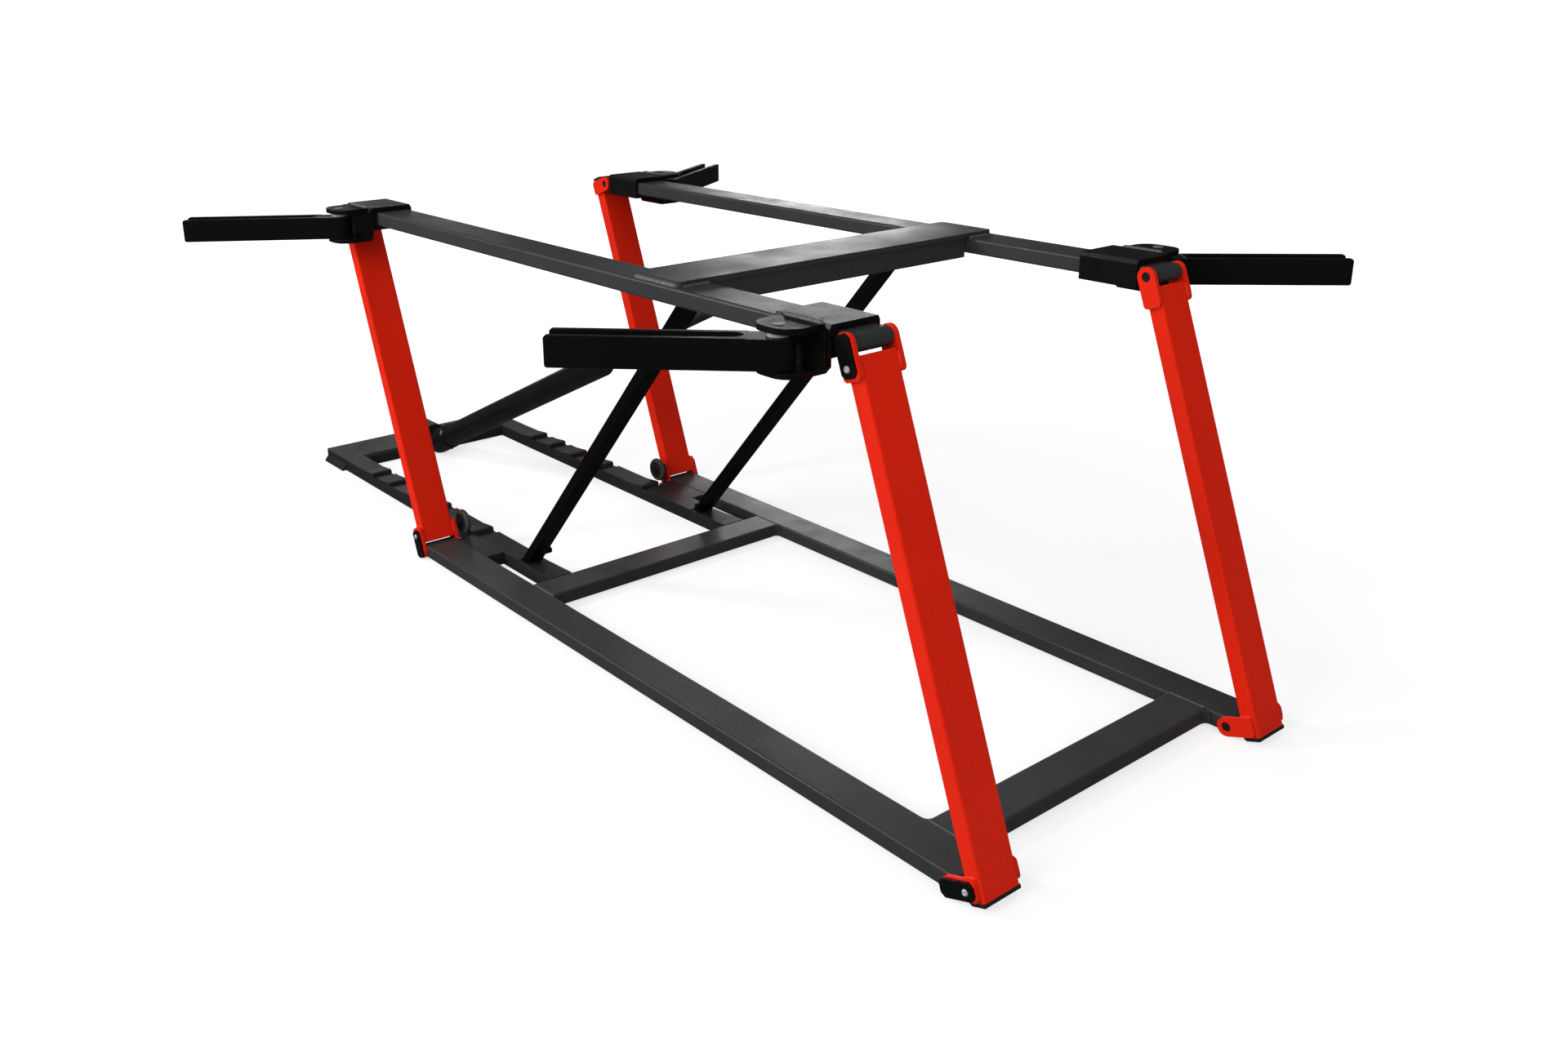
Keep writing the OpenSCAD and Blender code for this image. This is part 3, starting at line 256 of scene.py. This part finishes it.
LOOKS = {
    "red_coat": dict(tone=(0.650, 0.0145, 0.0022), tone_b=(0.580, 0.0120, 0.0020),
                     edge=(0.78, 0.045, 0.014), rough=0.45, grain=300, depth=0.00020,
                     spec=0.16, bevel=0.0014, edge_share=0.55),
    "grey_coat": dict(tone=(0.0290, 0.0306, 0.0328), tone_b=(0.0222, 0.0234, 0.0250),
                      edge=(0.075, 0.077, 0.080), rough=0.42, grain=250, depth=0.00055,
                      spec=0.34, bevel=0.0016, edge_share=0.6, dust=0.012),
    "black_coat": dict(tone=(0.0034, 0.0032, 0.0030), tone_b=(0.0024, 0.0023, 0.0021),
                       edge=(0.030, 0.030, 0.030), rough=0.42, grain=260, depth=0.00060,
                       spec=0.20, bevel=0.0014, edge_share=0.6),
    "strut_coat": dict(tone=(0.0016, 0.0015, 0.0014), tone_b=(0.0010, 0.0010, 0.0009),
                       edge=(0.020, 0.018, 0.016), rough=0.46, grain=260, depth=0.00040,
                       spec=0.12, bevel=0.0014, edge_share=0.6),
    "tube_coat": dict(tone=(0.0040, 0.0040, 0.0040), tone_b=(0.0028, 0.0028, 0.0028),
                      edge=(0.030, 0.030, 0.030), rough=0.30, grain=260, depth=0.00030,
                      spec=0.42, bevel=0.0014, edge_share=0.6),
    "press_coat": dict(tone=(0.0155, 0.0156, 0.0160), tone_b=(0.0115, 0.0116, 0.0119),
                       edge=(0.055, 0.055, 0.056), rough=0.46, grain=300, depth=0.00045,
                       spec=0.30, bevel=0.0050, edge_share=0.35, dust=0.012),
    # Weld beads: painted lighter than the coat they join, a painted highlight for the light
    # their ripples catch
    "weld_grey_painted_highlight": dict(tone=(0.090, 0.091, 0.094), tone_b=(0.050, 0.051, 0.053),
                      edge=(0.15, 0.15, 0.152), rough=0.44, grain=420, depth=0.00020,
                      spec=0.34, bevel=0.0006),
    "weld_red": dict(tone=(0.640, 0.022, 0.008), tone_b=(0.560, 0.016, 0.005),
                     edge=(0.80, 0.080, 0.035), rough=0.34, grain=420, depth=0.00012,
                     spec=0.34, bevel=0.0006),
    "steel": dict(tone=(0.10, 0.10, 0.102), tone_b=(0.07, 0.07, 0.072),
                  edge=(0.25, 0.25, 0.25), rough=0.42, grain=300, depth=0.00010,
                  metal=0.9, spec=0.5, stretch=(1.0, 0.15, 1.0)),
    "zinc": dict(tone=(0.60, 0.61, 0.62), tone_b=(0.50, 0.50, 0.49),
                 edge=(0.78, 0.79, 0.80), rough=0.30, grain=420, depth=0.00006,
                 metal=0.5, spec=0.5, bevel=0.0006),
    "rubber": dict(tone=(0.012, 0.012, 0.012), tone_b=(0.018, 0.018, 0.017),
                   edge=(0.03, 0.03, 0.03), rough=0.75, grain=260, depth=0.00040,
                   spec=0.25),
    "tread": dict(tone=(0.050, 0.047, 0.042), tone_b=(0.026, 0.025, 0.024),
                  edge=(0.080, 0.076, 0.070), rough=0.70, grain=200, depth=0.00060,
                  spec=0.25, edge_share=0.7),
    "wheel_plastic": dict(tone=(0.014, 0.014, 0.014), tone_b=(0.010, 0.010, 0.010),
                          edge=(0.035, 0.035, 0.035), rough=0.55, grain=300, depth=0.00020,
                          spec=0.30),
    "pin_grey": dict(tone=(0.22, 0.22, 0.22), tone_b=(0.17, 0.17, 0.17),
                     edge=(0.34, 0.34, 0.34), rough=0.50, grain=380, depth=0.00010,
                     metal=0.3, spec=0.4),
    "pin_dark": dict(tone=(0.010, 0.010, 0.010), tone_b=(0.006, 0.006, 0.006),
                     edge=(0.03, 0.03, 0.03), rough=0.60, grain=300, depth=0.00015,
                     spec=0.25, bevel=0.0006),
}
MATS = {name: surface(name, **look) for name, look in LOOKS.items()}

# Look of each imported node, by the end of its name; any other node is black
NODE_LOOKS = {
    "red_coat": ("_leg",),
    "grey_coat": ("_base_rail", "front_crossbeam", "mid_crossbeam", "_top_bar",
                  "top_crossbar", "crossbar_plate"),
    "press_coat": ("_rack", "_rack_bridge", "rear_crossbeam"),
    "strut_coat": ("_strut",),
    "tube_coat": ("spindle_tube",),
    "rubber": ("_end_pad", "base_feet"),
    "wheel_plastic": ("_wheel",),
    "zinc": ("_lock_bolts", "swing_washers", "fork_bolts"),
    "steel": ("strut_pins", "spindle_hinge_pin", "spindle_rod", "spindle_gland"),
    "pin_grey": ("swing_pins",),
    "pin_dark": ("_leg_pins", "_wheel_axle"),
}


def node_look(name):
    for look, ends in NODE_LOOKS.items():
        if name.endswith(ends):
            return look
    return "black_coat"


for name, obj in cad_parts.items():
    for material_slot in obj.material_slots:
        material_slot.material = MATS[node_look(name)]

# --------------------------------------------------------------- small parts


def new_piece(name, bm, look, body, sharp_from=None):
    """Turns a bmesh in world coordinates into a piece that rides on a body."""
    bmesh.ops.recalc_face_normals(bm, faces=bm.faces)
    mesh = bpy.data.meshes.new(name)
    bm.to_mesh(mesh)
    bm.free()
    if sharp_from:
        mesh.set_sharp_from_angle(angle=math.radians(sharp_from))
    obj = bpy.data.objects.new(name, mesh)
    scene.collection.objects.link(obj)
    mesh.materials.append(MATS[look])
    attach(obj, body)
    return obj


def cross_axes(axis):
    """Two unit vectors across an axis and across each other."""
    side = axis.orthogonal().normalized()
    return side, axis.cross(side)


def turns(count):
    """Angles of count even steps around a circle."""
    return [2 * math.pi * i / count for i in range(count)]


def tube_rings(bm, rings):
    """Joins rings of points into a closed skin with two end caps."""
    loops = [[bm.verts.new(p) for p in ring] for ring in rings]
    count = len(loops[0])
    for a, b in zip(loops, loops[1:]):
        for i in range(count):
            j = (i + 1) % count
            bm.faces.new((a[i], a[j], b[j], b[i])).smooth = True
    bm.faces.new(list(reversed(loops[0])))
    bm.faces.new(loops[-1])


# Radius and length of a ripple of each kind of weld bead
PLATE_END_BEAD = (0.0085, 0.0075)
PLATE_EDGE_BEAD = (0.0042, 0.0050)
SEAM_BEAD = (0.0024, 0.0036)
CLEVIS_BEAD = (0.0062, 0.0065)
EAR_BEAD = (0.0044, 0.0048)
BEAD_SIDES, RIPPLE_STEPS, FEWEST_STEPS = 10, 4, 6
RIPPLE_DEPTH, RIPPLE_ROUND = 0.13, 0.6    # as a share of the radius, and how round
TIP_SHARE, TIP_LENGTH = 0.35, 1.5         # radius at the tips, and the taper in radii
SLOW_WANDER, FAST_WANDER = (0.07, 310.0), (0.05, 1130.0)    # share and waves
WANDER_SHIFT = 40.0       # turns a bead's place into where its wander starts


def weld_line(bm, start, end, radius, pitch):
    """A rippled weld bead from start to end, as a closed tube half sunk in the seam."""
    start, end = Vector(start), Vector(end)
    length = (end - start).length
    along = (end - start).normalized()
    side, other = cross_axes(along)
    steps = max(FEWEST_STEPS, round(length / pitch * RIPPLE_STEPS))
    rings = []
    for k in range(steps + 1):
        at = k / steps * length
        ripple = abs(math.sin(math.pi * at / pitch)) ** RIPPLE_ROUND
        swell = 1.0 - RIPPLE_DEPTH + RIPPLE_DEPTH * ripple
        taper = min(1.0, TIP_SHARE + min(at, length - at) / (TIP_LENGTH * radius))
        wander = (SLOW_WANDER[0] * math.sin(at * SLOW_WANDER[1] + start.x * WANDER_SHIFT)
                  + FAST_WANDER[0] * math.sin(at * FAST_WANDER[1]))
        r = radius * swell * taper * (1.0 + wander)
        centre = start + along * at
        rings.append([centre + (side * math.cos(t) + other * math.sin(t)) * r
                      for t in turns(BEAD_SIDES)])
    tube_rings(bm, rings)


def weld_piece(name, lines, bead, look, body):
    """The beads along all lines as one piece."""
    bm = bmesh.new()
    for start, end in lines:
        weld_line(bm, start, end, *bead)
    new_piece(name, bm, look, body)


PLATE_WELD_IN = 0.006     # ends of the heavy bead inside the plate's corners
PLATE_EDGE_IN = 0.004     # start of the fine bead, outward from the top bar's inner face
PLATE_EDGE_OUT = 0.010    # its end, short of the plate's end


def weld_crossbar_plate():
    """A heavy bead at each end of the top crossbar's plate and a finer one along the edges."""
    plate_lo, plate_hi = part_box("crossbar_plate")
    for word, side in SIDES.items():
        y = side * plate_hi.y
        inner = side * (RAIL_Y - BAR_HALF + PLATE_EDGE_IN)
        end = [((plate_lo.x + PLATE_WELD_IN, y, BAR_TOP),
                (plate_hi.x - PLATE_WELD_IN, y, BAR_TOP))]
        edges = [((x, inner, BAR_TOP), (x, y - side * PLATE_EDGE_OUT, BAR_TOP))
                 for x in (plate_lo.x, plate_hi.x)]
        weld_piece(f"{word}_plate_end_weld", end, PLATE_END_BEAD, "weld_grey_painted_highlight", "top_frame")
        weld_piece(f"{word}_plate_edge_welds", edges, PLATE_EDGE_BEAD, "weld_grey_painted_highlight",
                   "top_frame")


SEAM_HALF = 0.046         # half a seam's length
SEAM_SUNK = 0.0009        # its depth below the rail's top


def weld_base_seams():
    """Fine beads where the base's crossbeams meet the rails."""
    for beam in ("front_crossbeam", "mid_crossbeam"):
        beam_lo, beam_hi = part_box(beam)
        middle = (beam_lo.x + beam_hi.x) / 2
        z = RAIL_TOP - SEAM_SUNK
        seams = [((middle - SEAM_HALF, side * beam_hi.y, z),
                  (middle + SEAM_HALF, side * beam_hi.y, z)) for side in SIDES.values()]
        weld_piece(f"{beam}_seam_welds", seams, SEAM_BEAD, "weld_grey_painted_highlight", "base")


# The clevis bead in a corner's own frame: from and to inboard, then outboard and up
CLEVIS_FROM, CLEVIS_TO, CLEVIS_Y, CLEVIS_Z = 0.046, 0.154, 0.0672, 0.0312


def weld_clevises():
    """A bead along the outer edge of each corner block."""
    for word, (front, side) in CORNERS.items():
        base_x, inboard = (FRONT_UP_X, -1) if front else (REAR_UP_X, 1)
        y, z = side * (RAIL_Y + CLEVIS_Y), UP_Z + CLEVIS_Z
        seam = [((base_x + inboard * CLEVIS_FROM, y, z), (base_x + inboard * CLEVIS_TO, y, z))]
        weld_piece(f"{word}_clevis_weld", seam, CLEVIS_BEAD, "weld_grey_painted_highlight", "top_frame")


def leg_point(front, side, x, y, z):
    """From a leg's own frame to the world.

    Z runs along the tube, from a front leg's lower hinge or a rear leg's upper one.
    """
    if front:
        angle, at = -TUBE_LEAN, (FRONT_X, LOW_Z)
    else:
        angle, at = math.pi - TUBE_LEAN, (REAR_UP_X, UP_Z)
    c, s = math.cos(angle), math.sin(angle)
    return (at[0] + c * x + s * z, side * (RAIL_Y + y), at[1] - s * x + c * z)


BEAD_PROUD = 0.0005       # bead's line outside the face of the tube that carries the ears
BEAD_IN = 0.0015          # bead's line inside the tube's edges
LONG_EAR_ENDS = (0.004, 0.030)      # beads along it: from its root, and short of the hinge
LONG_EAR_HALF = 0.015               # bead across its root, half its length
SHORT_EAR_ACROSS = (-0.016, 0.013)  # bead across its root, about the tube's middle
SHORT_EAR_ALONG = (-0.018, EAR_R - 0.002)


def ear_beads(y):
    """Bead lines of the long and of the short ear on one face of a leg, in its own frame."""
    root = LEG_RUN - EAR_LEN
    low, high = root + LONG_EAR_ENDS[0], LEG_RUN - LONG_EAR_ENDS[1]
    inner, outer = (LEG_OFFSET + edge * (TUBE_HALF_H - BEAD_IN) for edge in (-1, 1))
    return [((inner, y, low), (inner, y, high)),
            ((outer, y, low), (outer, y, high)),
            ((LEG_OFFSET - LONG_EAR_HALF, y, root), (LEG_OFFSET + LONG_EAR_HALF, y, root)),
            tuple((LEG_OFFSET + x, y, EAR_R) for x in SHORT_EAR_ACROSS),
            tuple((inner, y, z) for z in SHORT_EAR_ALONG)]


def weld_ears():
    """Beads around the roots of the hinge ears on each leg's tube."""
    for word, (front, side) in CORNERS.items():
        lines = [line for edge in (-1, 1)
                 for line in ear_beads(edge * (TUBE_HALF_W + BEAD_PROUD))]
        placed = [(leg_point(front, side, *a), leg_point(front, side, *b)) for a, b in lines]
        weld_piece(f"{word}_ear_welds", placed, EAR_BEAD, "weld_red", f"{word}_leg_set")


SCREW_HEAD_R, SCREW_HEAD_H, SCREW_SHANK = 0.0070, 0.0040, 0.004
SCREW_SIDES = 36
# Outline of a button head: height and radius as shares of the head's
HEAD_SHAPE = ((0.0, 0.55), (0.0, 1.0), (0.25, 0.99), (0.55, 0.92), (0.82, 0.76),
              (0.97, 0.60), (1.0, 0.52))
# Its hexagon socket, and the socket's floor
SOCKET_SHAPE = ((1.0, 0.44), (0.35, 0.42))
SOCKET_FLOOR = (0.30, 0.05)


def hex_socket_screw(bm, origin, axis):
    """Button head with a hexagon socket, and its shank into the plate."""
    origin, axis = Vector(origin), Vector(axis)
    side, other = cross_axes(axis)

    def ring(height, share, hexagon=False):
        points = []
        for t in turns(SCREW_SIDES):
            r = SCREW_HEAD_R * share
            if hexagon:
                sector = (t + math.pi / 6) % (math.pi / 3) - math.pi / 6
                r *= math.cos(math.pi / 6) / math.cos(sector)
            points.append(origin + axis * height
                          + (side * math.cos(t) + other * math.sin(t)) * r)
        return points

    rings = [ring(-SCREW_SHANK, HEAD_SHAPE[0][1])]
    rings += [ring(SCREW_HEAD_H * h, share) for h, share in HEAD_SHAPE]
    rings += [ring(SCREW_HEAD_H * h, share, True) for h, share in SOCKET_SHAPE]
    rings.append(ring(SCREW_HEAD_H * SOCKET_FLOOR[0], SOCKET_FLOOR[1]))
    tube_rings(bm, rings)


def screw_lock_plates():
    """A screw at the lower and at the upper lock plate of each leg."""
    for word, (front, side) in CORNERS.items():
        bm = bmesh.new()
        for x, z in ((LOCK_BOLT_AT, 0.0), (LEG_OFFSET, LEG_RUN - LOCK_BOLT_AT)):
            at = leg_point(front, side, x, EAR_OUT + LOCK_T, z)
            hex_socket_screw(bm, at, (0, side, 0))
        screws = new_piece(f"{word}_lock_screws", bm, "zinc", f"{word}_leg_set")
        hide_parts(f"{word}_lock_bolts")


WHEEL_SIDES = 56
WHEEL_SHARP = 40          # degrees from which an edge stays sharp
WHEEL_BORE = 0.0061
BORE_LIP = 0.0001
# Raised hub from its bore out: (in from the face, radius)
HUB_SHAPE = ((0.0, WHEEL_BORE + BORE_LIP), (0.0, 0.0131), (0.003, 0.0151))
# Raised ring of the disc, and the tread: (in from the face, below the wheel's radius)
RING_SHAPE = ((0.0035, 0.0155), (0.0015, 0.0135), (0.0015, 0.0095))
TREAD_SHAPE = ((0.0008, 0.0095), (0.0, 0.0080), (0.0006, 0.0050), (0.0024, 0.0022),
               (0.0052, 0.0006))
TREAD_FLAT_HALF = 0.0020
TREAD_BORE_IN = 0.0105    # tread's inner radius below the wheel's


def mirrored_outline(half_outline):
    """Adds the far half of a wheel's outline, given as (along the axle, radius)."""
    return half_outline + [(-a, r) for a, r in reversed(half_outline)]


def turned_ring(name, at, bore, outline, look, body):
    """A ring turned about Y: the outer outline, closed by a straight bore."""
    bm = bmesh.new()
    points = [(outline[0][0], bore)] + outline + [(outline[-1][0], bore)]
    loops = [[bm.verts.new(at + Vector((math.cos(t) * r, a, math.sin(t) * r)))
              for a, r in points] for t in turns(WHEEL_SIDES)]
    for one, two in zip(loops, loops[1:] + loops[:1]):
        for k in range(len(points)):
            m = (k + 1) % len(points)
            bm.faces.new((one[k], one[m], two[m], two[k])).smooth = True
    return new_piece(name, bm, look, body, WHEEL_SHARP)


def make_wheel(word):
    """A narrow wheel: a tread, and a dark disc with a raised hub and a raised ring."""
    lo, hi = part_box(f"{word}_wheel")
    at = (lo + hi) / 2
    half = (hi.y - lo.y) / 2
    radius = (hi.z - lo.z) / 2
    disc = mirrored_outline([(-half + a, r) for a, r in HUB_SHAPE]
                            + [(-half + a, radius - b) for a, b in RING_SHAPE])
    tread = mirrored_outline([(-half + a, radius - b) for a, b in TREAD_SHAPE]
                             + [(-TREAD_FLAT_HALF, radius)])
    body = f"{word}_transport_wheel"
    piece = turned_ring(f"{word}_wheel_disc", at, WHEEL_BORE, disc, "wheel_plastic", body)
    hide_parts(f"{word}_wheel")
    turned_ring(f"{word}_wheel_tread", at, radius - TREAD_BORE_IN, tread, "tread", body)


weld_crossbar_plate()
weld_base_seams()
weld_clevises()
weld_ears()
screw_lock_plates()
for word in SIDES:
    make_wheel(word)

# ---------------------------------------------------------- light and ground

WHITE = (1.0, 1.0, 1.0, 1.0)
FLOOR_HALF = 60.0
# The floor's glow to the camera rises from below the lift to white further away
GLOW_WHERE, GLOW = (1.6, 4.0), (0.69, 1.0)
FLOOR_TO_LIGHT, FLOOR_TO_CAMERA = (0.40, 0.40, 0.40, 1.0), (0.30, 0.30, 0.30, 1.0)
FLOOR_IN_GLOSS = 0.07
WORLD_TINT = (0.98, 0.99, 1.0, 1.0)
WORLD_LIGHT, WORLD_IN_GLOSS, WORLD_TO_CAMERA = 0.20, 0.05, 1.0


def by_ray(n, path, other, gloss, camera):
    """One shader for gloss and clear rays, one for the camera's, one for all others."""
    mirror_ray = n.math("MAXIMUM", path.outputs["Is Glossy Ray"],
                        path.outputs["Is Transmission Ray"])
    inner = n.mix_shader(mirror_ray, other, gloss)
    return n.mix_shader(path.outputs["Is Camera Ray"], inner, camera)


def make_floor():
    mesh = bpy.data.meshes.new("floor")
    size = FLOOR_HALF
    mesh.from_pydata([(-size, -size, 0), (size, -size, 0), (size, size, 0), (-size, size, 0)],
                     [], [(0, 1, 2, 3)])
    floor = bpy.data.objects.new("floor", mesh)
    scene.collection.objects.link(floor)
    mat = bpy.data.materials.new("floor")
    mat.use_nodes = True
    n = Nodes(mat.node_tree)
    out = n.add("ShaderNodeOutputMaterial")
    path = n.add("ShaderNodeLightPath")
    plain = n.add("ShaderNodeBsdfDiffuse", Color=FLOOR_TO_LIGHT)
    pale = n.add("ShaderNodeBsdfDiffuse", Color=FLOOR_TO_CAMERA)
    glow = n.add("ShaderNodeEmission", Color=WHITE)
    away = n.add("ShaderNodeVectorMath", operation="LENGTH")
    n.link(n.add("ShaderNodeTexCoord").outputs["Object"], away.inputs[0])
    n.link(n.spread(away.outputs["Value"], GLOW_WHERE, GLOW), glow.inputs["Strength"])
    seen = n.add("ShaderNodeAddShader")
    n.link(pale.outputs[0], seen.inputs[0])
    n.link(glow.outputs[0], seen.inputs[1])
    mirrored = n.add("ShaderNodeEmission", Color=WHITE, Strength=FLOOR_IN_GLOSS)
    n.link(by_ray(n, path, plain, mirrored, seen).outputs[0], out.inputs["Surface"])
    mesh.materials.append(mat)


def make_world():
    world = bpy.data.worlds.new("studio")
    scene.world = world
    world.use_nodes = True
    n = Nodes(world.node_tree)
    out = n.add("ShaderNodeOutputWorld")
    path = n.add("ShaderNodeLightPath")
    soft, gloss, white = (
        n.add("ShaderNodeBackground", Color=colour, Strength=strength)
        for colour, strength in ((WORLD_TINT, WORLD_LIGHT), (WHITE, WORLD_IN_GLOSS),
                                 (WHITE, WORLD_TO_CAMERA)))
    n.link(by_ray(n, path, soft, gloss, white).outputs[0], out.inputs["Surface"])


# Lamps: name, place, target, width, height, watts, and whether gloss mirrors the lamp
LAMPS = (
    ("top_light", (0.0, 0.2, 4.6), (0.2, 0.0, 0.5), 4.5, 3.5, 48, False),
    ("back_light", (-4.00, 4.32, 1.75), (0.3, 0.0, 1.00), 1.45, 0.75, 38, True),
    ("side_light", (0.9, -5.2, 2.7), (0.4, 0.0, 0.75), 3.5, 2.4, 250, False),
    ("front_light", (5.6, -0.6, 2.9), (0.6, 0.0, 0.9), 2.6, 2.4, 105, False),
    ("rear_light", (-5.2, 3.4, 1.9), (0.0, 0.0, 0.5), 3.6, 1.8, 190, False),
    ("low_light", (-5.5, 1.7, 1.35), (-1.0, -0.3, 0.1), 1.6, 0.9, 7, True),
    ("edge_light", (-2.5, -3.7, 3.4), (0.8, -0.4, 0.2), 0.9, 0.6, 135, True),
)


def soft_box(name, at, to, width, height, power, glossy):
    data = bpy.data.lights.new(name, "AREA")
    data.shape = "RECTANGLE"
    data.size, data.size_y = width, height
    data.energy = power
    lamp = bpy.data.objects.new(name, data)
    scene.collection.objects.link(lamp)
    lamp.location = at
    lamp.rotation_mode = "QUATERNION"
    lamp.rotation_quaternion = (Vector(to) - Vector(at)).to_track_quat("-Z", "Y")
    lamp.visible_camera = False
    lamp.visible_glossy = glossy


make_floor()
make_world()
for lamp in LAMPS:
    soft_box(*lamp)
